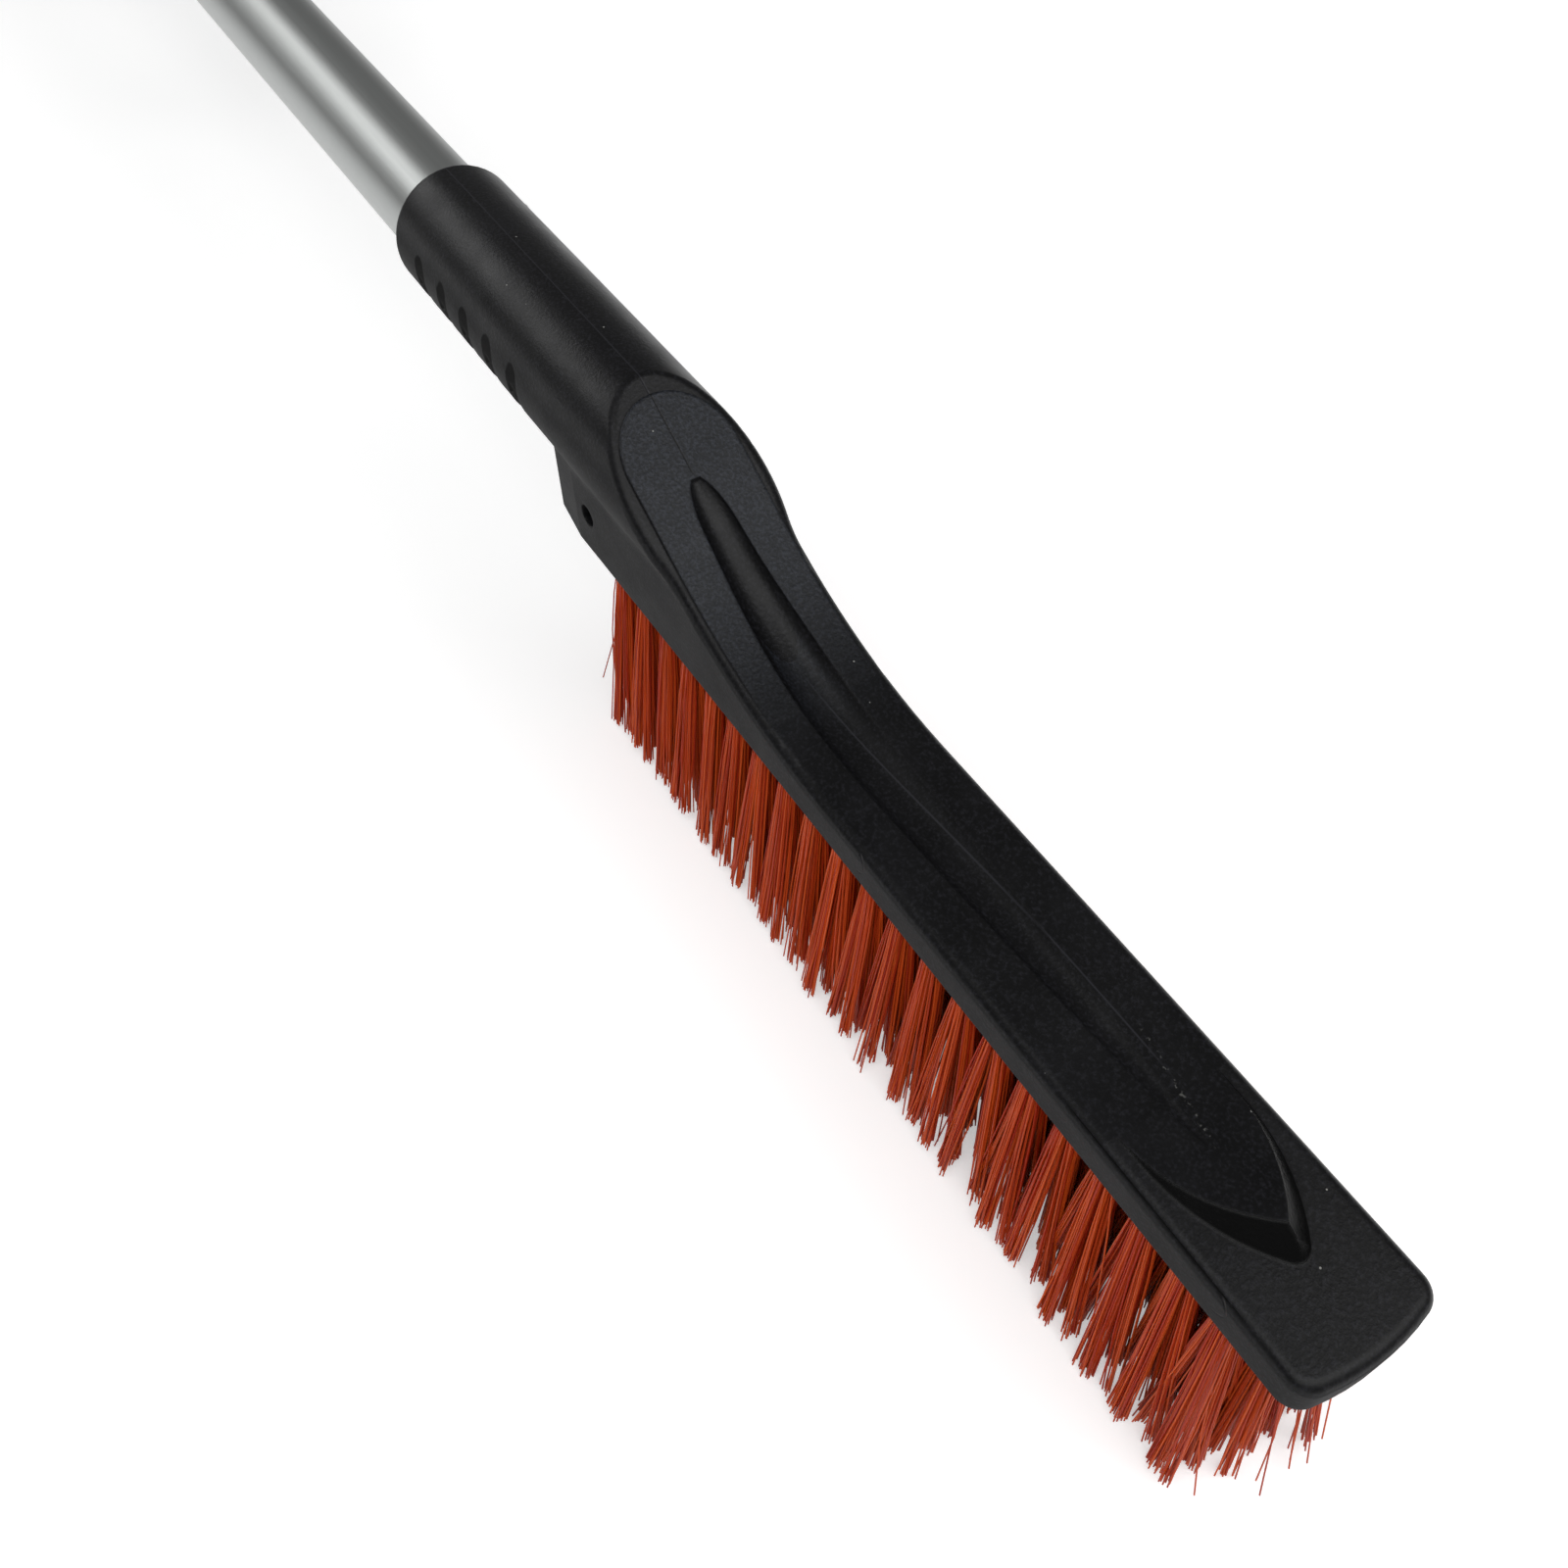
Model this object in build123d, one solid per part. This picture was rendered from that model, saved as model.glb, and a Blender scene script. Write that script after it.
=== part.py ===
from build123d import *
import math
import os

# Snow brush and ice scraper on a telescopic aluminium handle, in millimetres.
# Drawing frame: X runs along the tubes towards the brush's tip, Z is up, the bristles point
# down, and the tubes' common axis is Y = 0, Z = 0. X = 0 is where the brush's socket meets its block.
# At the end everything is moved so that the origin is the bottom centre of the whole tool.

# ---- clearances ----
SLIDE_CLEAR = 0.10      # radial, plastic guides on a sliding tube
SEAT_CLEAR = 0.05       # radial, tubes in their glued or screwed sockets
PIN_CLEAR = 0.05        # radial, screw and rivet shanks in their holes
TUFT_CLEAR = 0.10       # radial, bristle bundles in their holes
SOFT_CLEAR = 0.15       # radial, foam on the tube
TURN_CLEAR = 0.10       # radial, lock collar on its bushing
CUT_PAST = 1.0          # how far a cutter reaches past the face that it opens

# ---- tubes ----
INNER_R = 11.0          # brush tube, outside radius
OUTER_R = 12.5          # handle tube, outside radius
TUBE_WALL = 1.2
TRAVEL = 220.0          # how far the brush tube pulls out
BARE_TUBE = 180.0       # brush tube that shows between socket and lock when pushed in
OVERLAP = 70.0          # brush tube that stays inside when pulled out

# ---- brush head ----
SOCKET_LEN = 70.0       # socket in front of the block's rear face
SOCKET_MOUTH_R = 13.9
HEAD_R = 14.05          # socket radius at the block
BORE_PAST = 6.0         # bore depth past the block's rear face
MOUTH_ROUND = 1.2
BLOCK_LEN = 201.5
BLOCK_HALF = 12.6       # half width
BLOCK_BOTTOM = -24.1
BLOCK_TOP = -16.6
REAR_X = -7.5           # the rear end narrows a little and is rounded
REAR_HALF = 10.85
REAR_BEND_X = 5.0
REAR_CORNER_R = 3.0
TIP_BOW_R = 42.0
TIP_CORNER_R = 4.0
RIM_ROUND = 2.0
FLANK_BLEND = 8.0       # between the round barrel and the flat sides
SCARF_X = 12.7          # where the slanted panel starts on top of the socket
SCARF_SLOPE = 30.3      # degrees below the tube's axis
SCARF_ARC_R = 95.0
SCARF_BARREL = 62.0     # the round barrel runs this far into the block
GRIP_GROOVES = 5
GROOVE_PITCH = 10.65
GROOVE_LAST_X = -14.9
GROOVE_DEPTH = 3.2      # of the cutting rings; their floor stops at GROOVE_FLOOR_R
GROOVE_R = 3.0
GROOVE_LIFT = 3.44      # offset of the groove rings, so that they fade out on the flanks
GROOVE_FLOOR_R = 12.15
HANG_HOLE_X = 9.9
HANG_HOLE_Z = -15.0
HANG_HOLE_R = 2.3
GROOVE_TOP_Z = 1.5
# leaf-shaped channel: distance from the socket end of the block, half width, depth
LEAF = ((31.2, 0.9, 0.3), (34.0, 2.4, 1.2), (42.0, 3.5, 2.1), (56.0, 4.4, 2.5),
        (76.0, 4.9, 2.4), (100.0, 4.5, 2.1), (125.0, 3.4, 1.5), (148.0, 2.1, 0.8), (159.0, 1.2, 0.4),
        (169.0, 0.4, 0.15))
PAD_X = 16.5            # thin raised pad on the slanted panel
PAD_HALF = 11.0
PAD_RISE = 0.58
PAD_ARC_X = 43.0        # from here its top bends until it dips into the block's top
PAD_END_X = 80.0
PAD_DIP = 0.25
LEAF_HEADROOM = 10.0
RAMP_START = 150.0      # wedge near the tip, rising towards a pointed nose
RAMP_HALF = 9.9
RAMP_SHOULDER = 165.0
RAMP_ARC_R = 34.0
RAMP_RISE = 6.2         # where the pointed plan would end, past the rounded nose
RAMP_NOSE_R = 3.0
RAMP_DRAFT = 45.0
RAMP_SINK = 0.4

# ---- bristles ----
ROWS = 4
INNER_ROWS = (1, 2)     # set half a pitch further forward than the outer rows
TUFTS = 21
TUFT_PITCH = 8.4
ROW_PITCH = 6.3
FIRST_TUFT_X = 18.6
HOLE_R = 2.2
HOLE_DEPTH = 5.2
BRISTLE_LEN = 44.0
TUFT_TIP_R = 3.1
SIDE_SPLAY = 4.0        # degrees, outer rows
TIP_LEAN = 11.0         # degrees, forward lean of the last tufts
ANCHOR_T = 0.5
ANCHOR_H = 2.0
ANCHOR_BITE = 0.3

# ---- head screw and scraper screw ----
SCREW_R = 1.6
SCREW_HEAD_R = 3.0
SCREW_HEAD_H = 1.6
SCREW_LEN = 8.0
SCREW_FLAT = 1.0        # depth of the spot face under the head
SPOT_CLEAR = 0.3
HEX_R = 1.3
HEAD_SCREW_X = -64.6

# ---- twist lock ----
BUSH_WALL = 1.9
BUSH_REAR = 14.0
BUSH_FRONT = 16.0
SLIT_W = 1.2
SLIT_LEN = 10.0
SLITS = 4
COLLAR_WALL = 3.2
COLLAR_LIP = 3.0
COLLAR_FLUTES = 12
FLUTE_R = 2.2
LIP_CLEAR = 0.5

# ---- foam grip ----
GRIP_LEN = 150.0
GRIP_R = 17.0
GRIP_END_ROUND = 3.0
GRIP_GAP = 6.0          # between grip and scraper socket

# ---- scraper ----
STOP_GAP = 1.0          # between the guide plug and the scraper's spigot when pushed in
SPIGOT_LEN = 30.0
SCRAPER_SOCKET_LEN = 45.0
SCRAPER_SOCKET_R = 15.6
FLARE_LEN = 55.0
PADDLE_W = 96.0
PADDLE_T = 9.0
PADDLE_LEN = 14.0
PADDLE_CORNER_R = 3.0
BLADE_W = 100.0
BLADE_T = 3.0
BLADE_LEN = 46.0
BLADE_IN = 12.0
BLADE_BEVEL = 9.0
BLADE_EDGE_T = 0.6
BLADE_CORNER_R = 5.0
BLADE_GAP = 0.05
RIVET_R = 2.0
RIVET_HEAD_R = 3.6
RIVET_HEAD_H = 1.4
RIVET_SPREAD = 64.0
TEETH = 7
TOOTH_PITCH = 11.0
TOOTH_W = 5.0
TOOTH_LEN = 12.0
TOOTH_H = 5.0
TOOTH_PEAK_X = 2.0
TOOTH_SINK = 0.5
SCRAPER_SCREW_IN = 15.0

# ---- what follows from them ----
TUBE_SEAT_X = BORE_PAST
COLLAR_FRONT_X = -SOCKET_LEN - BARE_TUBE
BUSH_FRONT_X = COLLAR_FRONT_X - COLLAR_LIP
OUTER_FRONT_X = BUSH_FRONT_X - BUSH_FRONT
BUSH_REAR_X = OUTER_FRONT_X - BUSH_REAR
INNER_REAR_X = OUTER_FRONT_X - TRAVEL - OVERLAP
PLUG_FLANGE = 4.0
PLUG_LEN = 14.0
PLUG_REAR_X = INNER_REAR_X - PLUG_FLANGE
SPIGOT_FRONT_X = PLUG_REAR_X - STOP_GAP
OUTER_REAR_X = SPIGOT_FRONT_X - SPIGOT_LEN
SOCKET_FRONT_X = OUTER_REAR_X + SCRAPER_SOCKET_LEN
GRIP_REAR_X = SOCKET_FRONT_X + GRIP_GAP
PADDLE_X = OUTER_REAR_X - FLARE_LEN
PADDLE_END_X = PADDLE_X - PADDLE_LEN
BLADE_SEAT_X = PADDLE_END_X + BLADE_IN
SCRAPER_SCREW_X = OUTER_REAR_X + SCRAPER_SCREW_IN
OUTER_BORE_R = OUTER_R - TUBE_WALL
INNER_BORE_R = INNER_R - TUBE_WALL
BUSH_R = OUTER_R + BUSH_WALL
COLLAR_R = BUSH_R + COLLAR_WALL


def rod(x0, x1, radius):
    """Cylinder about the tubes' axis from x0 to x1."""
    low, high = min(x0, x1), max(x0, x1)
    return Plane.YZ.offset(low) * extrude(Circle(radius), high - low)


def ring(x0, x1, outer, inner):
    return rod(x0, x1, outer) - rod(x0, x1, inner)


def slab(outline, width):
    """A closed XZ outline made into a solid, centred on Y = 0."""
    return extrude(Plane.XZ * outline, width / 2, both=True)


def panel_height(x):
    """Height of the head's top surface: slanted line, tangent arc, flat."""
    slope = math.radians(SCARF_SLOPE)
    foot_x = SCARF_X + (HEAD_R - BLOCK_TOP) / math.tan(slope)
    run = SCARF_ARC_R * math.tan(slope / 2)
    arc_end = foot_x + run
    arc_start = foot_x - run * math.cos(slope)
    if x >= arc_end:
        return BLOCK_TOP
    if x <= arc_start:
        return HEAD_R - (x - SCARF_X) * math.tan(slope)
    centre_z = BLOCK_TOP + SCARF_ARC_R
    return centre_z - math.sqrt(SCARF_ARC_R**2 - (arc_end - x)**2)


def above_panel():
    """Everything above the head's top surface."""
    slope = math.radians(SCARF_SLOPE)
    high = HEAD_R + 12
    foot_x = SCARF_X + (HEAD_R - BLOCK_TOP) / math.tan(slope)
    run = SCARF_ARC_R * math.tan(slope / 2)
    arc_end = foot_x + run
    arc_start = foot_x - run * math.cos(slope)
    top_x = SCARF_X - (high - HEAD_R) / math.tan(slope)
    far_x = BLOCK_LEN + 10
    start = (arc_start, panel_height(arc_start))
    end = (arc_end, BLOCK_TOP)
    outline = Polyline((far_x, BLOCK_TOP), (far_x, high), (top_x, high), start)
    outline += TangentArc(start, end, tangent=(math.cos(slope), -math.sin(slope)))
    outline += Line(end, (far_x, BLOCK_TOP))
    return slab(make_face(outline), 4 * HEAD_R)


def block_blank():
    """The block in plan: a rear end that narrows and a bowed, rounded tip."""
    corner_x = BLOCK_LEN - (TIP_BOW_R - math.sqrt(TIP_BOW_R**2 - BLOCK_HALF**2))
    outline = Polyline((corner_x, -BLOCK_HALF), (REAR_BEND_X, -BLOCK_HALF), (REAR_X, -REAR_HALF),
                       (REAR_X, REAR_HALF), (REAR_BEND_X, BLOCK_HALF), (corner_x, BLOCK_HALF))
    outline += ThreePointArc((corner_x, BLOCK_HALF), (BLOCK_LEN, 0), (corner_x, -BLOCK_HALF))
    plan = make_face(outline)
    rear = plan.vertices().filter_by(lambda v: abs(v.X - REAR_X) < 0.01)
    plan = fillet(rear, REAR_CORNER_R)
    tip = plan.vertices().filter_by(lambda v: abs(v.X - corner_x) < 0.01)
    plan = fillet(tip, TIP_CORNER_R)
    return Pos(0, 0, BLOCK_BOTTOM) * extrude(plan, -BLOCK_BOTTOM)


def socket_barrel():
    """Slightly tapered socket with a rounded mouth, running on into the block."""
    side = Polyline((-SOCKET_LEN, 0), (-SOCKET_LEN, SOCKET_MOUTH_R), (0, HEAD_R),
                    (SCARF_BARREL, HEAD_R), (SCARF_BARREL, 0), (-SOCKET_LEN, 0))
    barrel = revolve(Plane.XZ * make_face(side), Axis.X)
    mouth = barrel.edges().sort_by(Axis.X)[0]
    return fillet(mouth, MOUTH_ROUND)


def ramp_nose_x():
    """Where the two arcs of the ramp's plan would meet."""
    return RAMP_SHOULDER + math.sqrt(RAMP_ARC_R**2 - (RAMP_ARC_R - RAMP_HALF)**2)


def ramp_height(x):
    """Height of the ramp's top surface, an arc that leaves the block's top level."""
    run, rise = ramp_nose_x() + 1 - RAMP_START, RAMP_RISE + RAMP_SINK
    radius = (run**2 + rise**2) / (2 * rise)
    past = max(x - RAMP_START, 0)
    return BLOCK_TOP - RAMP_SINK + radius - math.sqrt(radius**2 - past**2)


def leaf_channel():
    """Cutter of the pointed channel that runs down the middle of the top surface."""
    sections = []
    for x, half, depth in LEAF:
        z = max(panel_height(x), ramp_height(x))
        top = z + PAD_RISE + LEAF_HEADROOM
        outline = Polyline((half, z), (half, top), (-half, top), (-half, z))
        outline += ThreePointArc((-half, z), (0, z - depth), (half, z))
        sections.append(Plane.YZ.offset(x) * make_face(outline))
    return loft(sections)


def panel_pad():
    """Thin pad that covers the slanted panel and runs out in the block's top."""
    plan = Pos(PAD_X + PAD_HALF, 0) * Circle(PAD_HALF)
    plan += Pos((PAD_X + PAD_HALF + PAD_END_X) / 2, 0) * Rectangle(PAD_END_X - PAD_X - PAD_HALF, 2 * PAD_HALF)
    prism = Pos(0, 0, BLOCK_TOP - 1) * extrude(plan, 2 * HEAD_R - BLOCK_TOP)
    slope = math.radians(SCARF_SLOPE)
    start = (PAD_ARC_X, panel_height(PAD_ARC_X) + PAD_RISE)
    end = (PAD_END_X, panel_height(PAD_END_X) - PAD_DIP)
    rear = (PAD_X - 1, start[1] + (PAD_ARC_X - PAD_X + 1) * math.tan(slope))
    under = Polyline(end, (PAD_END_X, BLOCK_TOP - 1), (rear[0], BLOCK_TOP - 1), rear, start)
    under += TangentArc(start, end, tangent=(math.cos(slope), -math.sin(slope)))
    return prism & slab(make_face(under), 4 * HEAD_R)


def nose_ramp():
    """Wedge that rises towards a pointed nose behind the tip."""
    nose_x = ramp_nose_x()
    low = (RAMP_SHOULDER, -RAMP_HALF)
    high = (RAMP_SHOULDER, RAMP_HALF)
    nose = (nose_x, 0)
    outline = Polyline(high, (RAMP_START - 5, RAMP_HALF), (RAMP_START - 5, -RAMP_HALF), low)
    outline += TangentArc(low, nose, tangent=(1, 0))
    outline += TangentArc(high, nose, tangent=(1, 0))
    plan = make_face(outline)
    tip = plan.vertices().sort_by(Axis.X)[-1]
    plan = fillet(tip, RAMP_NOSE_R)
    wedge = Pos(0, 0, BLOCK_TOP - RAMP_SINK) * extrude(plan, RAMP_RISE, taper=RAMP_DRAFT)
    start = (RAMP_START, BLOCK_TOP - RAMP_SINK)
    end = (nose_x + 1, BLOCK_TOP + RAMP_RISE)
    over = Polyline(end, (end[0], 0), (RAMP_START - 10, 0), (RAMP_START - 10, start[1]), start)
    over += TangentArc(start, end, tangent=(1, 0))
    return wedge - slab(make_face(over), 4 * RAMP_HALF)


def tuft_frames():
    """Where every tuft leaves the block, tilted as it leans, row by row."""
    rows = []
    for row in range(ROWS):
        y = (row - (ROWS - 1) / 2) * ROW_PITCH
        shift = TUFT_PITCH / 2 if row in INNER_ROWS else 0
        splay = SIDE_SPLAY * y / ((ROWS - 1) / 2 * ROW_PITCH)
        frames = []
        for number in range(TUFTS):
            x = FIRST_TUFT_X + shift + number * TUFT_PITCH
            lean = TIP_LEAN * (number / (TUFTS - 1))**3
            frames.append(Pos(x, y, BLOCK_BOTTOM) * Rot(splay, -lean, 0))
        rows.append(frames)
    return rows


def tuft_holes():
    hole = Pos(0, 0, -CUT_PAST) * extrude(Circle(HOLE_R), HOLE_DEPTH + CUT_PAST)
    return [frame * part for row in tuft_frames() for frame in row for part in (hole, anchor())]


def screw(x, surface_r):
    """Pan-head screw that points at the tube's axis from the +Y side."""
    seat = surface_r - SCREW_FLAT
    body = extrude(Circle(SCREW_R), SCREW_LEN)
    body = Pos(0, 0, -SCREW_LEN) * body + extrude(Circle(SCREW_HEAD_R), SCREW_HEAD_H)
    body -= Pos(0, 0, SCREW_HEAD_H / 2) * extrude(RegularPolygon(HEX_R, 6), SCREW_HEAD_H)
    return Plane(origin=(x, seat, 0), x_dir=(1, 0, 0), z_dir=(0, 1, 0)) * body


def screw_hole(x, surface_r):
    seat = surface_r - SCREW_FLAT
    shank = extrude(Circle(SCREW_R + PIN_CLEAR), SCREW_LEN + CUT_PAST)
    face = extrude(Circle(SCREW_HEAD_R + SPOT_CLEAR), SCREW_FLAT + 3 * CUT_PAST)
    return Plane(origin=(x, seat, 0), x_dir=(1, 0, 0), z_dir=(0, 1, 0)) * (
        Pos(0, 0, -SCREW_LEN - CUT_PAST) * shank + face)


def brush_head():
    body = socket_barrel() + block_blank()
    crease_z = -math.sqrt(HEAD_R**2 - BLOCK_HALF**2)
    crease = body.edges().filter_by(lambda e: e.length > 20 and abs((e @ 0.5).Z - crease_z) < 0.01)
    body = fillet(crease, FLANK_BLEND)
    body -= above_panel()
    rim = body.edges().filter_by(lambda e: on_panel_rim(e))
    body = fillet(rim, RIM_ROUND)
    body += panel_pad() + nose_ramp()
    body -= leaf_channel()
    inner_ring_r = HEAD_R - GROOVE_DEPTH + GROOVE_LIFT
    for number in range(GRIP_GROOVES):
        x = GROOVE_LAST_X - number * GROOVE_PITCH
        torus = Solid.make_torus(inner_ring_r + GROOVE_R, GROOVE_R,
                                 Plane(origin=(x, 0, GROOVE_LIFT), z_dir=(1, 0, 0)))
        below = Pos(x, 0, GROOVE_TOP_Z - 2 * HEAD_R) * Box(4 * GROOVE_R, 4 * HEAD_R, 4 * HEAD_R)
        body -= (torus & below) - rod(x - 2 * GROOVE_R, x + 2 * GROOVE_R, GROOVE_FLOOR_R)
    body -= rod(-SOCKET_LEN - 1, TUBE_SEAT_X, INNER_R + SEAT_CLEAR)
    hang = Pos(HANG_HOLE_X, 0, HANG_HOLE_Z) * Rot(90, 0, 0) * Cylinder(HANG_HOLE_R, 4 * HEAD_R)
    body -= hang
    body -= screw_hole(HEAD_SCREW_X, HEAD_R)
    body -= tuft_holes()
    return body


def on_panel_rim(edge):
    """True for an edge between the head's top surface and its flanks."""
    for at in (0.1, 0.5, 0.9):
        point = edge @ at
        if point.X < SCARF_X - 1 or abs(point.Z - panel_height(point.X)) > 0.05:
            return False
    middle = edge @ 0.5
    at_end = middle.X < SCARF_X + 1 or middle.X > BLOCK_LEN - 1
    return at_end or abs(middle.Y) > BLOCK_HALF / 2


def tuft():
    """One bundle, root at the origin: a plug in its hole and a cone that widens to its tips."""
    root = HOLE_R - TUFT_CLEAR
    plug_len = HOLE_DEPTH - ANCHOR_H
    side = Polyline((0, plug_len), (root, plug_len), (root, 0), (TUFT_TIP_R, -BRISTLE_LEN),
                    (0, -BRISTLE_LEN), close=True)
    return revolve(Plane.XZ * make_face(side), Axis.Z)


def anchor():
    """Flat wire staple that holds a folded bundle at the bottom of its hole."""
    plate = Box(2 * (HOLE_R + ANCHOR_BITE), ANCHOR_T, ANCHOR_H)
    return Pos(0, 0, HOLE_DEPTH - ANCHOR_H / 2) * plate


def row_of(piece, frames):
    return Compound([(frame * piece).solid() for frame in frames])


def inner_tube():
    tube = ring(INNER_REAR_X, TUBE_SEAT_X, INNER_R, INNER_BORE_R)
    return tube - screw_hole(HEAD_SCREW_X, HEAD_R)


def guide_plug():
    flange = rod(PLUG_REAR_X, INNER_REAR_X, OUTER_BORE_R - SLIDE_CLEAR)
    return flange + ring(INNER_REAR_X, INNER_REAR_X + PLUG_LEN, INNER_BORE_R - SEAT_CLEAR,
                         INNER_BORE_R - 2)


def outer_tube():
    tube = ring(OUTER_REAR_X, OUTER_FRONT_X, OUTER_R, OUTER_BORE_R)
    return tube - screw_hole(SCRAPER_SCREW_X, SCRAPER_SOCKET_R)


def lock_bushing():
    body = rod(BUSH_REAR_X, BUSH_FRONT_X, BUSH_R)
    body -= rod(BUSH_REAR_X, OUTER_FRONT_X, OUTER_R + SEAT_CLEAR)
    body -= rod(OUTER_FRONT_X, BUSH_FRONT_X, INNER_R + SLIDE_CLEAR)
    body = chamfer(body.edges().sort_by(Axis.X)[-1:], 0.6)
    slit = Box(SLIT_LEN, BUSH_R * 2, SLIT_W, align=(Align.MAX, Align.MIN, Align.CENTER))
    for number in range(SLITS):
        body -= Rot(45 + 360 / SLITS * number, 0, 0) * Pos(BUSH_FRONT_X, 0, 0) * slit
    return body


def lock_collar():
    body = rod(BUSH_REAR_X, COLLAR_FRONT_X, COLLAR_R)
    body = fillet(body.edges().filter_by(GeomType.CIRCLE), 1.0)
    body -= rod(BUSH_REAR_X, BUSH_FRONT_X + TURN_CLEAR, BUSH_R + TURN_CLEAR)
    body -= rod(BUSH_FRONT_X, COLLAR_FRONT_X, INNER_R + LIP_CLEAR)
    flute_len = COLLAR_FRONT_X - BUSH_REAR_X - 8
    for number in range(COLLAR_FLUTES):
        angle = 360 / COLLAR_FLUTES * number
        flute = Pos(0, 0, COLLAR_R + FLUTE_R - 1.1) * Rot(0, 90, 0) * Cylinder(FLUTE_R, flute_len)
        body -= Rot(angle, 0, 0) * Pos((BUSH_REAR_X + COLLAR_FRONT_X) / 2, 0, 0) * flute
    return body


def foam_grip():
    body = rod(GRIP_REAR_X, GRIP_REAR_X + GRIP_LEN, GRIP_R)
    body = fillet(body.edges().filter_by(GeomType.CIRCLE), GRIP_END_ROUND)
    return body - rod(GRIP_REAR_X, GRIP_REAR_X + GRIP_LEN, OUTER_R + SOFT_CLEAR)


def rivet_places():
    x = (BLADE_SEAT_X + PADDLE_END_X) / 2
    return [(x, side * RIVET_SPREAD / 2) for side in (-1, 1)]


def rivet_holes():
    radius = RIVET_R + PIN_CLEAR
    return [Pos(x, y, 0) * Cylinder(radius, PADDLE_T + 10) for x, y in rivet_places()]


def scraper_head():
    body = rod(OUTER_REAR_X, SOCKET_FRONT_X, SCRAPER_SOCKET_R)
    body = fillet(body.edges().sort_by(Axis.X)[-1:], 1.5)
    start = Plane.YZ.offset(OUTER_REAR_X) * Circle(SCRAPER_SOCKET_R)
    end = Plane.YZ.offset(PADDLE_X) * RectangleRounded(PADDLE_W, PADDLE_T, PADDLE_CORNER_R)
    body += loft([end, start])
    paddle = RectangleRounded(PADDLE_W, PADDLE_T, PADDLE_CORNER_R)
    body += Plane.YZ.offset(PADDLE_END_X) * extrude(paddle, PADDLE_LEN)
    seat = ring(OUTER_REAR_X, SOCKET_FRONT_X, OUTER_R + SEAT_CLEAR, OUTER_BORE_R - SEAT_CLEAR)
    body -= seat + rod(SPIGOT_FRONT_X, SOCKET_FRONT_X, OUTER_R + SEAT_CLEAR)
    slot = Box(BLADE_IN, PADDLE_W + 10, BLADE_T + 2 * BLADE_GAP,
               align=(Align.MIN, Align.CENTER, Align.CENTER))
    body -= Pos(PADDLE_END_X, 0, 0) * slot
    body -= screw_hole(SCRAPER_SCREW_X, SCRAPER_SOCKET_R)
    body -= rivet_holes()
    peak = (TOOTH_PEAK_X, TOOTH_H)
    tooth = Plane.XZ * make_face(Polyline((0, 0), (TOOTH_LEN, 0), peak, close=True))
    tooth = extrude(tooth, TOOTH_W / 2, both=True)
    for number in range(TEETH):
        y = (number - (TEETH - 1) / 2) * TOOTH_PITCH
        if min(abs(y - at[1]) for at in rivet_places()) < RIVET_HEAD_R + TOOTH_W / 2:
            continue
        body += Pos(PADDLE_END_X + TOOTH_SINK, y, PADDLE_T / 2 - TOOTH_SINK) * tooth
    return body


def scraper_blade():
    edge_x = BLADE_SEAT_X - BLADE_LEN
    half = BLADE_T / 2
    side = Polyline((BLADE_SEAT_X, -half), (BLADE_SEAT_X, half), (edge_x + BLADE_BEVEL, half),
                    (edge_x, -half + BLADE_EDGE_T), (edge_x, -half), close=True)
    body = slab(make_face(side), BLADE_W)
    corners = body.edges().filter_by(Axis.Z).filter_by(lambda e: e.center().X < edge_x + 1)
    body = fillet(corners, BLADE_CORNER_R)
    return body - rivet_holes()


def blade_rivets():
    shank = Cylinder(RIVET_R, PADDLE_T)
    head = Cone(RIVET_HEAD_R, RIVET_R, RIVET_HEAD_H)
    lift = (PADDLE_T + RIVET_HEAD_H) / 2
    rivet = shank + Pos(0, 0, lift) * head + Pos(0, 0, -lift) * Rot(180, 0, 0) * head
    return Compound([(Pos(x, y, 0) * rivet).solid() for x, y in rivet_places()])


def all_parts():
    parts = {
        "brush_head": brush_head(),
        "inner_tube": inner_tube(),
        "guide_plug": guide_plug(),
        "head_screw": screw(HEAD_SCREW_X, HEAD_R),
        "outer_tube": outer_tube(),
        "lock_bushing": lock_bushing(),
        "lock_collar": lock_collar(),
        "foam_grip": foam_grip(),
        "scraper_head": scraper_head(),
        "scraper_blade": scraper_blade(),
        "blade_rivets": blade_rivets(),
        "scraper_screw": screw(SCRAPER_SCREW_X, SCRAPER_SOCKET_R),
    }
    for number, frames in enumerate(tuft_frames(), start=1):
        parts[f"bristle_row_{number}"] = row_of(tuft(), frames)
        parts[f"anchor_row_{number}"] = row_of(anchor(), frames)
    return parts


def main():
    parts = all_parts()
    boxes = [part.bounding_box() for part in parts.values()]
    low_x = min(box.min.X for box in boxes)
    high_x = max(box.max.X for box in boxes)
    low_z = min(box.min.Z for box in boxes)
    home = Pos(-(low_x + high_x) / 2, 0, -low_z)
    os.makedirs("parts", exist_ok=True)
    for name, part in parts.items():
        export_step(home * part, f"parts/{name}.step")
    print("drawing frame moved by", home.position)
    print("tool length", high_x - low_x)


main()
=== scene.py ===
# %% [markdown]
# # A snow brush with an ice scraper
# This lesson dresses a finished CAD model of a long hand tool that clears a car of snow and ice.
# The CAD solids are the fixed frame: rigid parts keep their shape and get a real material.
# What a solid can't show, thousands of loose filaments and a soft foam sleeve, is modelled here,
# and each new piece stands for the plain solid that it replaces.

# %% Load the frame
import math
import random
import bpy
import numpy as np
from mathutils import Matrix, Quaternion, Vector


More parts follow.
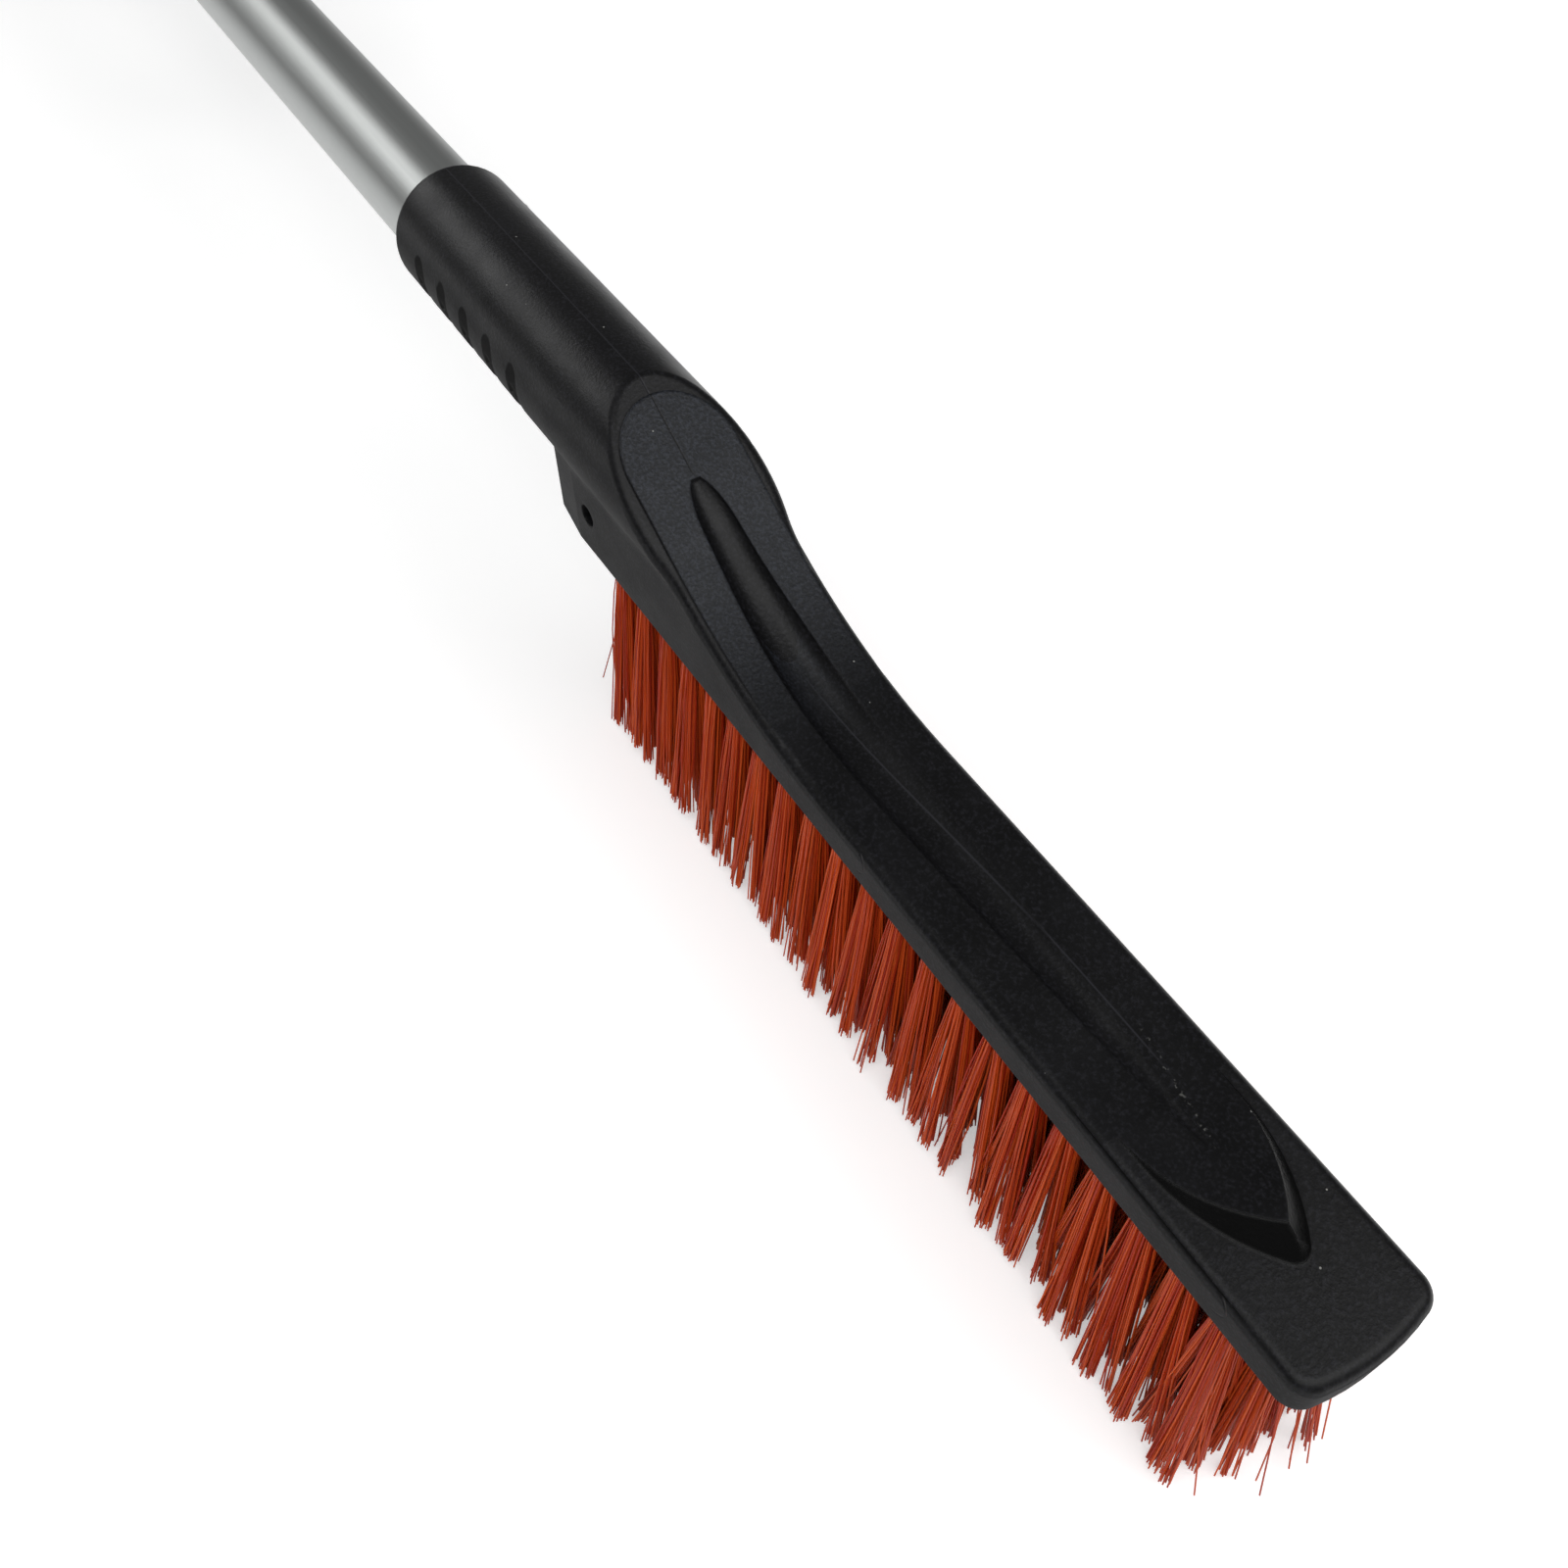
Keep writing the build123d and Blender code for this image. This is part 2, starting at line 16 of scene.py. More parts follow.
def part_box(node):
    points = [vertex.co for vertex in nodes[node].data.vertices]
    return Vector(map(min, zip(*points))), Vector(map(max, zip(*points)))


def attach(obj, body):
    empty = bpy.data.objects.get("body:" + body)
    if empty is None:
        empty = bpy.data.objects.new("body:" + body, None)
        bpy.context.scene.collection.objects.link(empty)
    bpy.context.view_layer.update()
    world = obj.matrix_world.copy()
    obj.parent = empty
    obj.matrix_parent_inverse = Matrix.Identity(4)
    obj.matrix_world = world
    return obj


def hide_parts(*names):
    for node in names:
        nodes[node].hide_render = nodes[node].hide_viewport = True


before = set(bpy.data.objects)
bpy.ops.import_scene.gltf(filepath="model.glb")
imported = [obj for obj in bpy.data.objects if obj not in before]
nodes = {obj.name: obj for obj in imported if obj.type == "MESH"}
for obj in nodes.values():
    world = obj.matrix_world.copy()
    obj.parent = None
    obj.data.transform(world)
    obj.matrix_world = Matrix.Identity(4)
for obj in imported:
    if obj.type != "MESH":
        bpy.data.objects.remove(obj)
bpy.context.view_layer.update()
scene = bpy.context.scene
MM = 0.001

# %% [markdown]
# Everything is placed from the frame. Both tubes share one axis, so the middle of the inner
# tube's box gives the axis height. The brush head's socket is 70 mm long, so its box also tells
# where the flat block begins. That point is the origin of all the patterns on the head.

# %% Measure the frame
SOCKET_LEN = 70.0 * MM
head_low, head_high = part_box("brush_head")
tube_low, tube_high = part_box("inner_tube")
AXIS_Z = (tube_low.z + tube_high.z) / 2
BLOCK_START = Vector((head_low.x + SOCKET_LEN, 0, AXIS_Z))
print("tube axis height", round(AXIS_Z / MM, 2), "mm")
print("brush tip at x =", round(head_high.x / MM, 1), "mm")

# %% [markdown]
# The camera looks down on the brush from beyond its tip. It stands close and has a fairly wide
# lens, so the block grows towards the tip and the tube shrinks fast towards the handle. A look
# direction and a small roll say more plainly than three angles where a hand-held camera points.

# %% Camera
CAMERA_FROM_TIP = Vector((1.6, -90.7, 171.1)) * MM
LOOK_DIRECTION = Vector((-0.50900, 0.32159, -0.79843))
ROLL = math.radians(0.52)
LENS_MM = 32.64
CLIP_START = 0.01

camera_data = bpy.data.cameras.new("camera")
camera_data.lens = LENS_MM
camera_data.clip_start = CLIP_START
camera = bpy.data.objects.new("camera", camera_data)
camera.location = Vector((head_high.x, 0, AXIS_Z)) + CAMERA_FROM_TIP
turn = LOOK_DIRECTION.to_track_quat("-Z", "Y") @ Quaternion((0, 0, 1), -ROLL)
camera.rotation_euler = turn.to_euler()
scene.collection.objects.link(camera)
scene.camera = camera
scene.view_settings.view_transform = "Standard"
print("camera at", [round(v, 3) for v in camera.location])

# %% [markdown]
# A material is a small tree of nodes. Colours are written as the sRGB hex values that a paint
# chart or a colour picker gives, and one function turns them to the linear values that light
# needs. One more function adds a node: a plain value is set on its socket, and a node or one of
# its outputs is linked to it. Every finish below is made with these few lines.

# %% Colour and node helpers
def linear(hex_colour):
    """A colour such as #C8401C as linear red, green, blue and alpha."""
    parts = [int(hex_colour[i:i + 2], 16) / 255 for i in (1, 3, 5)]
    return [v / 12.92 if v <= 0.04045 else ((v + 0.055) / 1.055)**2.4 for v in parts] + [1]


def add(tree, kind, inputs=None, **settings):
    """Adds one node. An input is a value, or a node or one of its outputs to link."""
    new = tree.nodes.new("ShaderNode" + kind)
    for name, value in settings.items():
        setattr(new, name, value)
    for name, value in (inputs or {}).items():
        if isinstance(value, bpy.types.Node):
            value = next(output for output in value.outputs if output.enabled)
        if isinstance(value, bpy.types.NodeSocket):
            tree.links.new(value, new.inputs[name])
        else:
            new.inputs[name].default_value = value
    return new


def begin(name):
    """A new material with an empty tree."""
    material = bpy.data.materials.new(name)
    material.use_nodes = True
    material.node_tree.nodes.clear()
    return material, material.node_tree


def dress(piece, material):
    piece.data.materials.clear()
    piece.data.materials.append(material)

# %% [markdown]
# Most patterns need the same few steps. Object coordinates are in metres, so they are moved to a
# point of the frame and turned to millimetres: a noise scale of 2 is then two grains per
# millimetre. A mask is a number from 0 to 1 with soft limits: each limit names a value, where it
# gives 0 and where it gives 1. A mottled colour turns from one tone to another where a pattern
# rises. In a Mix node for colours, sockets 6 and 7 are the two colours.

# %% Pattern helpers
def millimetres(tree, origin):
    """Object coordinates in millimetres from a point of the frame."""
    coords = add(tree, "TexCoord").outputs["Object"]
    return add(tree, "Mapping", {"Vector": coords, "Location": -Vector(origin) / MM,
                                 "Scale": (1 / MM, 1 / MM, 1 / MM)})


def all_of(tree, masks):
    """The product of the masks, 1 only where each of them is 1."""
    product = masks[0]
    for mask in masks[1:]:
        product = add(tree, "Math", {0: product, 1: mask}, operation="MULTIPLY")
    return product


def within(tree, *limits):
    """A mask from soft limits, each a value, where it gives 0 and where it gives 1."""
    return all_of(tree, [add(tree, "MapRange", {"Value": value, "From Min": zero_at,
                                                "From Max": one_at},
                             interpolation_type="SMOOTHSTEP")
                         for value, zero_at, one_at in limits])


def mottled(tree, first, second, *limits):
    """A colour that turns from the first to the second where the limits are met."""
    return add(tree, "Mix", {0: within(tree, *limits), 6: first, 7: second}, data_type="RGBA")

# %% [markdown]
# Most of the plastic is injection-moulded polypropylene. Its steel moulds were spark-eroded,
# which leaves a fine satin grain and hides flow marks. To the eye that means near-black with
# soft sheens and no mirror. A Bevel node rounds every edge a little, as a mould does, so edges
# catch the light. The scraper head, the lock and the guide plug have this plain version.

# %% Moulded polypropylene
BODY_BLACK, BODY_WORN, GRAIN_TOPS = "#060607", "#0C0C0E", "#1C1C20"
EDGE_RADIUS, BEVEL_SAMPLES = 0.7 * MM, 4
GRAIN_PER_MM = 1.6       # drawn about twice as coarse as the real spark grain, so that it shows
GRAIN_HEIGHT = 0.05 * MM
GRAIN_TOPS_AT = (0.45, 0.75)
CLOUDS_PER_MM, RUBBED_PER_MM = 0.05, 0.12
PLASTIC_IOR = 1.49


def moulded_polypropylene(name, origin, roughness=0.42):
    """Plain satin black plastic with a cloudy tone, grain and rubbed patches."""
    material, tree = begin(name)
    place = millimetres(tree, origin)
    clouds = add(tree, "TexNoise", {"Vector": place, "Scale": CLOUDS_PER_MM, "Detail": 4.0})
    grain = add(tree, "TexNoise", {"Vector": place, "Scale": GRAIN_PER_MM, "Detail": 3.0,
                                   "Roughness": 0.6})
    rubbed = add(tree, "TexNoise", {"Vector": place, "Scale": RUBBED_PER_MM, "Detail": 3.0})
    colour = mottled(tree, linear(BODY_BLACK), linear(BODY_WORN), (clouds, 0.42, 0.75))
    colour = mottled(tree, colour, linear(GRAIN_TOPS), (grain, *GRAIN_TOPS_AT))
    rough = add(tree, "MapRange", {"Value": rubbed, "From Min": 0.3, "From Max": 0.7,
                                   "To Min": roughness - 0.03, "To Max": roughness + 0.05})
    edges = add(tree, "Bevel", {"Radius": EDGE_RADIUS}, samples=BEVEL_SAMPLES)
    bump = add(tree, "Bump", {"Height": grain, "Strength": 1.0, "Distance": GRAIN_HEIGHT,
                              "Normal": edges})
    shader = add(tree, "BsdfPrincipled", {"Base Color": colour, "Roughness": rough,
                 "IOR": PLASTIC_IOR, "Specular IOR Level": 0.4, "Normal": bump})
    add(tree, "OutputMaterial", {"Surface": shader})
    return material


scraper_plastic = moulded_polypropylene("moulded_polypropylene_satin",
                                        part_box("scraper_head")[0])
lock_plastic = moulded_polypropylene("moulded_polypropylene_lock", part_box("lock_collar")[0], 0.36)
dress(nodes["scraper_head"], scraper_plastic)
for name in ("lock_collar", "lock_bushing", "guide_plug"):
    dress(nodes[name], lock_plastic)
print("plain plastic parts dressed")

# %% [markdown]
# The brush head is moulded from the same plastic, but its mould had several finishes. The slanted
# pad has a coarser, cooler grain and fades out along the block. The flanks are duller than the
# top, and the steep wall round the ramp near the tip is smoother; that wall is also painted
# darker, as painted shade. These regions are found by where a point lies, in millimetres from
# the block's start, and how far it faces up.

# %% The head's faces
FACES_UP, FACES_ASIDE, FACES_HALF_UP = (0.72, 0.82), (0.6, 0.2), (0.80, 0.75)
PAD_HALF, PAD_RISE, PAD_FULL_TO, PAD_GONE_BY = 11.0, 0.58, 42.0, 84.0
PAD_SLOPE, PAD_HEIGHT = 0.585, 22.05       # height = PAD_HEIGHT - PAD_SLOPE * x
WALL_HALF, WALL_FROM, WALL_TO = 12.2, 150.0, 189.0


def head_place(tree):
    """The place in millimetres, its x, y and z, how far it is aside and how far it faces up."""
    place = millimetres(tree, BLOCK_START)
    x, y, z = add(tree, "SeparateXYZ", {0: place}).outputs
    aside = add(tree, "Math", {0: y}, operation="ABSOLUTE")
    direction = add(tree, "TexCoord").outputs["Normal"]
    up = add(tree, "SeparateXYZ", {0: direction}).outputs["Z"]
    return place, x, y, z, aside, up


def head_faces(tree, x, z, aside, up):
    """Masks of the flanks, the grained pad and the ramp's wall, which also takes painted shade."""
    flank = within(tree, (up, *FACES_ASIDE))
    above = add(tree, "Math", {0: x, 1: PAD_SLOPE, 2: z}, operation="MULTIPLY_ADD")
    pad = within(tree, (up, *FACES_UP), (x, PAD_GONE_BY, PAD_FULL_TO),
                 (aside, PAD_HALF + 0.1, PAD_HALF - 0.1),
                 (above, PAD_HEIGHT - 0.5 * PAD_RISE, PAD_HEIGHT - 0.3 * PAD_RISE))
    wall = within(tree, (up, *FACES_HALF_UP), (aside, WALL_HALF, WALL_HALF - 0.3),
                  (x, WALL_FROM, WALL_FROM + 6), (x, WALL_TO, WALL_TO - 2))
    return {"flank": flank, "pad": pad, "wall": wall}

# %% [markdown]
# The mould also left lines. A parting line runs along the middle of the socket, where its halves
# met, and goes on as a dark hairline over the pad. A faint crease follows the channel's edge, and
# a painted highlight is laid along it, ending in a row of pale dots that are painted glints. Each
# line is the place where the distance from it is near nothing.

# %% Lines along the head
LINE_HALF, LINE_END = 0.24, 31.0
CREASE_Y, CREASE_TURN, CREASE_SAG, CREASE_HALF = 3.3, 148.0, 0.00045, 0.24
CREASE_STARTS, CREASE_ENDS = (60.0, 78.0), (160.0, 150.0)
DOTS_Y, DOTS_SLOPE, DOTS_HALF, DOTS_PER_MM = 34.5, 0.2, 0.5, 1.5
DOTS_START, DOTS_END, DOTS_SHOW = (148.0, 152.0), (170.0, 168.0), (0.56, 0.62)


def distance(tree, value, aim):
    """How far a value is from its aim, as a positive number."""
    off = add(tree, "Math", {0: value, 1: aim}, operation="SUBTRACT")
    return add(tree, "Math", {0: off}, operation="ABSOLUTE")


def head_lines(tree, place, x, y, aside, up):
    """Masks of the parting line, of the painted highlight along the crease beside the channel and
    of its dotted end.
    """
    line = within(tree, (aside, LINE_HALF, 0.0), (x, LINE_END, LINE_END - 1), (up, *FACES_UP))
    run = distance(tree, x, CREASE_TURN)
    square = add(tree, "Math", {0: run, 1: 2.0}, operation="POWER")
    bent = add(tree, "Math", {0: square, 1: -CREASE_SAG, 2: CREASE_Y}, operation="MULTIPLY_ADD")
    crease = within(tree, (distance(tree, y, bent), CREASE_HALF, 0.2 * CREASE_HALF),
                    (up, *FACES_UP), (x, *CREASE_STARTS), (x, *CREASE_ENDS))
    slanted = add(tree, "Math", {0: x, 1: -DOTS_SLOPE, 2: DOTS_Y}, operation="MULTIPLY_ADD")
    grit = add(tree, "TexNoise", {"Vector": place, "Scale": DOTS_PER_MM})
    dots = within(tree, (distance(tree, y, slanted), DOTS_HALF, 0.2 * DOTS_HALF),
                  (grit, *DOTS_SHOW), (x, *DOTS_START), (x, *DOTS_END))
    return {"line": line, "crease": crease, "dots": dots}

# %% [markdown]
# Smaller marks come next: the crescents that ejector pins left on the side, the finger grooves
# under the socket, which stay dull because no hand polishes them and whose floors and ends are
# painted dark as painted shade, and the first edge of the ramp, which a slow rise of the surface
# eases into the block's top.

# %% Marks of the mould
EJECTOR_MARKS = [(101.0, -12.6, -19.5), (184.0, -12.6, -19.5)]
EJECTOR_R, EJECTOR_HALF = 2.2, 0.28
EASE_FROM, EASE_TO, EASE_HEIGHT = 145.0, 160.2, 0.64 * MM
GROOVE_LAST, GROOVE_PITCH, GROOVE_TOP_R = -14.9, 10.65, 13.7
GROOVES_FROM, GROOVES_TO = (-62.0, -60.5), (-10.5, -12.0)
LENS_HALF, LENS_ASIDE, LENS_HEIGHT = 2.2, 14.0, 0.8


def crescents(tree, place, x):
    """The front half of the ring that each ejector pin leaves."""
    marks = []
    for middle in EJECTOR_MARKS:
        away = add(tree, "VectorMath", {0: place, 1: middle}, operation="DISTANCE")
        marks.append(within(tree, (distance(tree, away, EJECTOR_R), EJECTOR_HALF, 0.0),
                            (x, middle[0], middle[0] + 1)))
    return add(tree, "Math", {0: marks[0], 1: marks[1]}, operation="MAXIMUM")


def finger_grooves(tree, x, y, z, aside):
    """The floors of the grooves, and the lens where each one meets the socket's side, which stay
    dull and take painted shade.
    """
    flat = add(tree, "CombineXYZ", {0: y, 1: z})
    radius = add(tree, "VectorMath", {0: flat}, operation="LENGTH")
    along = add(tree, "Math", {0: x, 1: GROOVE_LAST}, operation="SUBTRACT")
    along = add(tree, "Math", {0: along, 1: GROOVE_PITCH / 2, 2: -GROOVE_PITCH / 2},
                operation="WRAP")
    rise = add(tree, "Math", {0: aside, 1: LENS_ASIDE}, operation="SUBTRACT")
    squares = []
    for value, half in ((along, LENS_HALF), (rise, LENS_HEIGHT)):
        share = add(tree, "Math", {0: value, 1: half}, operation="DIVIDE")
        squares.append(add(tree, "Math", {0: share, 1: 2.0}, operation="POWER"))
    round_it = add(tree, "Math", {0: squares[0], 1: squares[1]}, operation="ADD")
    lens = within(tree, (round_it, 1.2, 0.8))
    floors = within(tree, (radius, GROOVE_TOP_R, GROOVE_TOP_R - 0.4))
    either = add(tree, "Math", {0: lens, 1: floors}, operation="MAXIMUM")
    return all_of(tree, [either, within(tree, (x, *GROOVES_TO), (x, *GROOVES_FROM))])


def eased_edge(tree, x):
    """A rise that starts slowly, as the square of the way along the ramp's first edge."""
    climb = add(tree, "MapRange", {"Value": x, "From Min": EASE_FROM, "From Max": EASE_TO})
    return add(tree, "Math", {0: climb, 1: climb}, operation="MULTIPLY")

# %% [markdown]
# The head's colour is put together in layers. It starts near-black with worn clouds and pale
# grain tops, and each mask lays its own tone over it: the pad's cool leather grain, the lines,
# painted shade in the grooves and on the ramp's wall, and a painted highlight along the crease.
# Dust on the black top shows as a few pale specks.

# %% The head's colour
HEAD_CLOUDS_PER_MM = 0.06
PAD_BLACK, PAD_TOPS = "#15171B", "#2A2D34"
LINE_PALE, DARK_LINE_AND_SHADE, CREASE_HIGHLIGHT, DOTS_HIGHLIGHT = "#202024", "#030303", "#242428", "#4C4C4A"
SPECKS_PER_MM, SPECK_EDGE, SPECK_TONE = 0.16, (0.034, 0.018), "#8C8C88"


def head_colour(tree, place, up, masks, fine, coarse):
    """Layers of tone over the near-black plastic, from its masks and its two grains."""
    clouds = add(tree, "TexNoise", {"Vector": place, "Scale": HEAD_CLOUDS_PER_MM,
                                    "Detail": 4.0})
    dust = add(tree, "TexVoronoi", {"Vector": place, "Scale": SPECKS_PER_MM})
    leather = mottled(tree, linear(PAD_BLACK), linear(PAD_TOPS), (coarse, 0.42, 0.68))
    colour = mottled(tree, linear(BODY_BLACK), linear(BODY_WORN), (clouds, 0.4, 0.75))
    colour = mottled(tree, colour, linear(GRAIN_TOPS), (fine, *GRAIN_TOPS_AT))
    for mask, tone in ((masks["pad"], leather), (masks["line"], linear(LINE_PALE)),
                       (all_of(tree, [masks["line"], masks["pad"]]), linear(DARK_LINE_AND_SHADE)),
                       # painted shade: the finger grooves and the ramp's wall are painted dark
                       (masks["groove"], linear(DARK_LINE_AND_SHADE)), (masks["wall"], linear(DARK_LINE_AND_SHADE)),
                       # painted highlight: the crease beside the channel and its dots are painted
                       # paler
                       (masks["crease"], linear(CREASE_HIGHLIGHT)), (masks["dots"], linear(DOTS_HIGHLIGHT)),
                       (within(tree, (dust, *SPECK_EDGE), (up, *FACES_UP)), linear(SPECK_TONE))):
        colour = add(tree, "Mix", {0: mask, 6: colour, 7: tone}, data_type="RGBA")
    return colour

# %% [markdown]
# Roughness is added or taken away region by region. The bumps are chained, so each one starts
# from the surface that the one before it left: fine grain, the pad's pebbles, the eased edge,
# and the parting line and crescents, which are sunk into the surface.

# %% The brush head's finish
PAD_GRAIN_PER_MM, PEBBLE_STRENGTH, PEBBLE_HEIGHT = 1.7, 0.9, 0.09 * MM
LINE_DEPTH, CRESCENT_DEPTH = 0.06 * MM, 0.12 * MM
FLANK_ROUGHER, GROOVE_ROUGHER, WALL_ROUGHER = 0.34, 0.3, -0.14


def brush_head_plastic():
    material, tree = begin("moulded_polypropylene_brush_head")
    place, x, y, z, aside, up = head_place(tree)
    masks = {**head_faces(tree, x, z, aside, up), **head_lines(tree, place, x, y, aside, up),
             "groove": finger_grooves(tree, x, y, z, aside)}
    fine = add(tree, "TexNoise", {"Vector": place, "Scale": GRAIN_PER_MM, "Detail": 3.0,
                                  "Roughness": 0.6})
    coarse = add(tree, "TexNoise", {"Vector": place, "Scale": PAD_GRAIN_PER_MM, "Detail": 3.0,
                                    "Roughness": 0.6})
    rubbed = add(tree, "TexNoise", {"Vector": place, "Scale": RUBBED_PER_MM, "Detail": 3.0})
    rough = add(tree, "MapRange", {"Value": rubbed, "From Min": 0.3, "From Max": 0.7,
                                   "To Min": 0.33, "To Max": 0.41})
    for name, more in (("flank", FLANK_ROUGHER), ("groove", GROOVE_ROUGHER),
                       ("wall", WALL_ROUGHER)):
        rough = add(tree, "Math", {0: masks[name], 1: more, 2: rough}, operation="MULTIPLY_ADD")
    normal = add(tree, "Bevel", {"Radius": EDGE_RADIUS}, samples=BEVEL_SAMPLES)
    pebbled = add(tree, "Math", {0: masks["pad"], 1: PEBBLE_STRENGTH}, operation="MULTIPLY")
    for height, strength, deep, sunk in (
            (fine, 1.0, GRAIN_HEIGHT, False), (coarse, pebbled, PEBBLE_HEIGHT, False),
            (eased_edge(tree, x), 1.0, EASE_HEIGHT, False), (masks["line"], 0.6, LINE_DEPTH, True),
            (crescents(tree, place, x), 0.8, CRESCENT_DEPTH, True)):
        normal = add(tree, "Bump", {"Height": height, "Strength": strength, "Distance": deep,
                                    "Normal": normal}, invert=sunk)
    colour = head_colour(tree, place, up, masks, fine, coarse)
    shader = add(tree, "BsdfPrincipled", {"Base Color": colour, "Roughness": rough,
                 "IOR": PLASTIC_IOR, "Specular IOR Level": 0.23, "Normal": normal})
    add(tree, "OutputMaterial", {"Surface": shader})
    return material


dress(nodes["brush_head"], brush_head_plastic())
print("brush head dressed")

# %% [markdown]
# The tubes are extruded aluminium, satin anodised. The die leaves hair-fine lines along the
# tube, and the anodising makes the metal a little grey and dull, so a lamp shows as a long
# soft stripe and never as a sharp spot. The noise is stretched along the tube for that.

# %% Anodised aluminium
DIE_LINES = (6, 1500, 1500)      # per metre: long along the tube, fine across it


def anodised_aluminium():
    material, tree = begin("extruded_aluminium_satin_anodised")
    coords = add(tree, "TexCoord").outputs["Object"]
    lines = add(tree, "Mapping", {"Vector": coords, "Scale": DIE_LINES})
    streaks = add(tree, "TexNoise", {"Vector": lines, "Scale": 1.0, "Detail": 3.0})
    colour = add(tree, "Mix", {0: streaks, 6: linear("#A6A8A6"), 7: linear("#B4B7B6")},
                 data_type="RGBA")
    rough = add(tree, "MapRange", {"Value": streaks, "To Min": 0.34, "To Max": 0.46})
    bump = add(tree, "Bump", {"Height": streaks, "Strength": 0.25, "Distance": 0.02 * MM})
    shader = add(tree, "BsdfPrincipled", {"Base Color": colour, "Roughness": rough,
                 "Metallic": 1.0, "Normal": bump})
    add(tree, "OutputMaterial", {"Surface": shader})
    return material


aluminium = anodised_aluminium()
for name in ("inner_tube", "outer_tube"):
    dress(nodes[name], aluminium)
print("tubes dressed")

# %% [markdown]
# Screws, rivets and the staples that hold the bundles are zinc-plated steel: bright, slightly
# bluish, with a fine cloudy crystal pattern from the plating bath.

# %% Zinc-plated steel
CRYSTAL_SIZE = 0.8 * MM


def zinc_plated_steel():
    material, tree = begin("steel_zinc_plated")
    coords = add(tree, "TexCoord").outputs["Object"]
    crystals = add(tree, "TexNoise", {"Vector": coords, "Scale": 1 / CRYSTAL_SIZE, "Detail": 4.0})
    colour = add(tree, "Mix", {0: crystals, 6: linear("#AEB3B8"), 7: linear("#C6CACD")},
                 data_type="RGBA")
    rough = add(tree, "MapRange", {"Value": crystals, "To Min": 0.22, "To Max": 0.4})
    shader = add(tree, "BsdfPrincipled", {"Base Color": colour, "Roughness": rough,
                 "Metallic": 1.0})
    add(tree, "OutputMaterial", {"Surface": shader})
    return material


steel = zinc_plated_steel()
for name in nodes:
    if "screw" in name or "rivet" in name or "anchor" in name:
        dress(nodes[name], steel)
print("fasteners dressed")

# %% [markdown]
# The scraper blade is moulded from tough ABS in the bristles' colour. It is glossy when new, and
# ice and grit leave fine scratches that run in from its edge, so they are drawn along the
# tool and fade towards the rivets.

# %% Scraper blade
SCRATCH_REACH = 22.0              # millimetres from the blade's edge
SCRATCH_LINES = (0.05, 3.0, 3.0)  # per millimetre


def moulded_abs():
    material, tree = begin("moulded_abs_orange")
    edge_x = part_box("scraper_blade")[0].x / MM
    place = millimetres(tree, (0, 0, 0))
    x = add(tree, "SeparateXYZ", {0: place}).outputs["X"]
    hairs = add(tree, "Mapping", {"Vector": place, "Scale": SCRATCH_LINES})
    hairs = add(tree, "TexNoise", {"Vector": hairs, "Scale": 1.0, "Detail": 5.0,
                                   "Roughness": 0.7})
    scratch = within(tree, (hairs, 0.58, 0.7), (x, edge_x + SCRATCH_REACH, edge_x))
    colour = add(tree, "Mix", {0: scratch, 6: linear("#C23B1C"), 7: linear("#D98A6C")},
                 data_type="RGBA")
    rough = add(tree, "MapRange", {"Value": scratch, "To Min": 0.28, "To Max": 0.6})
    ripple = add(tree, "TexNoise", {"Vector": place, "Scale": 1.2, "Detail": 2.0})
    bump = add(tree, "Bump", {"Height": ripple, "Strength": 0.15, "Distance": 0.02 * MM})
    shader = add(tree, "BsdfPrincipled", {"Base Color": colour, "Roughness": rough,
                 "IOR": 1.53, "Normal": bump})
    add(tree, "OutputMaterial", {"Surface": shader})
    return material


dress(nodes["scraper_blade"], moulded_abs())
print("blade dressed")

# %% [markdown]
# The bristles are extruded polypropylene filament, about 0.3 mm thick and dyed through. Each is
# slightly clear, so it takes the light a little differently from its neighbour. A number from
# 0 to 1 is stored with each filament, and the material reads it as a tone.

# %% Filament finish
FILAMENT_DARK, FILAMENT_PALE = "#AE280A", "#DE5A1C"


def polypropylene_filament():
    material, tree = begin("extruded_polypropylene_filament")
    tone = add(tree, "Attribute", attribute_name="tone").outputs["Fac"]
    colour = add(tree, "Mix", {0: tone, 6: linear(FILAMENT_DARK), 7: linear(FILAMENT_PALE)},
                 data_type="RGBA")
    shader = add(tree, "BsdfPrincipled", {"Base Color": colour, "Roughness": 0.5,
                 "IOR": PLASTIC_IOR, "Specular IOR Level": 0.18})
    add(tree, "OutputMaterial", {"Surface": shader})
    return material


filament_finish = polypropylene_filament()
print("filament finish:", filament_finish.name)

# %% [markdown]
# Each CAD bundle is a plain cone, and its two ends say where the real bundle is rooted and
# which way it leans. The corners near the roots and near the tips are grouped along the row,
# and the middle of each group is one end of a bundle.

# %% Where each bundle stands
CLUSTER_GAP = 1.0 * MM
END_DEPTH = 3.0 * MM


def group_middles(points):
    """The middle of each group of points, where a gap along the row parts the groups."""
    points = sorted(points, key=lambda p: p.x)
    groups = [[points[0]]]
    for before, point in zip(points, points[1:]):
        if point.x - before.x > CLUSTER_GAP:
            groups.append([])
        groups[-1].append(point)
    return [(np.min(group, axis=0) + np.max(group, axis=0)) / 2 for group in groups]


def bundle_ends(row):
    """The root and the tip of every bundle of a CAD row, towards the brush's tip."""
    points = [v.co.copy() for v in nodes[row].data.vertices]
    low, high = min(p.z for p in points), max(p.z for p in points)
    roots = group_middles([p for p in points if p.z > high - END_DEPTH])
    tips = group_middles([p for p in points if p.z < low + END_DEPTH])
    return list(zip(roots, tips))


bundles = {f"bristle_row_{n}": bundle_ends(f"bristle_row_{n}") for n in range(1, 5)}
print("bundles in each row:", [len(found) for found in bundles.values()])

